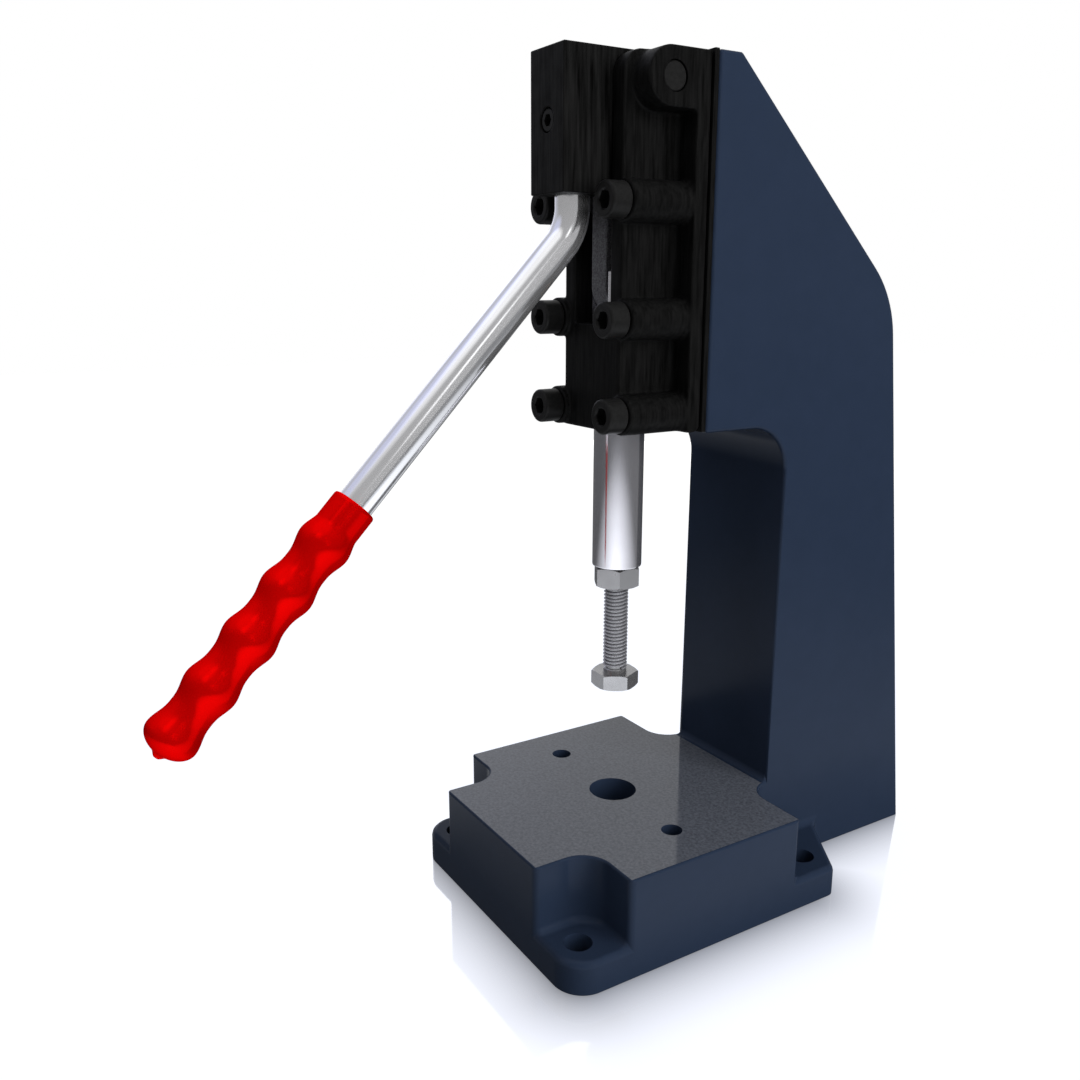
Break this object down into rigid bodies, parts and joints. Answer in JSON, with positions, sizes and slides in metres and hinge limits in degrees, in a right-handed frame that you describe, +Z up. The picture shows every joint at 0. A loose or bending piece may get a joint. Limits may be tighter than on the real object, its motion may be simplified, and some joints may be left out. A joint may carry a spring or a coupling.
{
  "type": "manual toggle press",
  "caption": "Bench toggle press: cast C-frame with a drilled table, hand lever with a ribbed grip, toggle link, guided round ram and an adjustable hexagon spindle.",
  "frame": {"origin": "middle of the footprint on the bench: half way between the front of the foot and the rear of the column", "axes": "+Z up from the bench, -Y towards the operator, +X to the operator's right. The ram's axis is 44.75 mm in front of the origin."},
  "size_m": [0.124, 0.3386, 0.3333],
  "materials": {
    "navy_paint": "semi-gloss navy paint on the casting, with a bare machined table",
    "black_casting": "blackened, with fine vertical streaks",
    "black_steel": "black oxide",
    "cast_link": "bare cast grey",
    "ground_steel": "ground and polished",
    "bright_chrome": "bright",
    "zinc_steel": "bright zinc",
    "bronze": "plain bearing bronze",
    "red_vinyl": "glossy dipped vinyl"
  },
  "bodies": {
    "frame": {"press_frame": "navy_paint", "backing_plate": "black_steel", "clamp_housing": "black_casting", "ram_guide_bush": "bronze", "main_pivot_pin": "black_steel", "cap_screw_bottom_left": "black_steel", "cap_screw_bottom_right": "black_steel", "cap_screw_middle_left": "black_steel", "cap_screw_middle_right": "black_steel", "cap_screw_top_left": "black_steel", "cap_screw_top_right": "black_steel"},
    "lever": {"lever_block": "black_casting", "lever_bush": "bronze", "lever_rod": "bright_chrome", "hand_grip": "red_vinyl", "rod_set_screw": "black_steel", "link_pin": "ground_steel"},
    "link": {"toggle_link": "cast_link", "link_bush": "bronze", "ram_pin": "ground_steel"},
    "ram": {"ram": "ground_steel", "lock_nut": "zinc_steel"},
    "spindle": {"spindle_bolt": "zinc_steel"}
  },
  "joints": [
    {"name": "lever_swing", "type": "hinge", "parent": "frame", "child": "lever", "pos_m": [0, -0.04475, 0.3223], "axis": [-1, 0, 0], "range_deg": [0, 60]},
    {"name": "link_fold", "type": "hinge", "parent": "lever", "child": "link", "pos_m": [0, -0.04475, 0.2873], "axis": [-1, 0, 0], "range_deg": [-120, 0]},
    {"name": "ram_travel", "type": "slide", "parent": "frame", "child": "ram", "axis": [0, 0, 1], "range_m": [0, 0.035]},
    {"name": "spindle_setting", "type": "slide", "parent": "ram", "child": "spindle", "axis": [0, 0, 1], "range_m": [-0.005, 0.02]}
  ],
  "couplings": [
    {"joint": "link_fold", "follows": "lever_swing", "ratio": -2},
    {"joint": "ram_travel", "follows": "lever_swing", "m_per_rad": 0.033422}
  ]
}
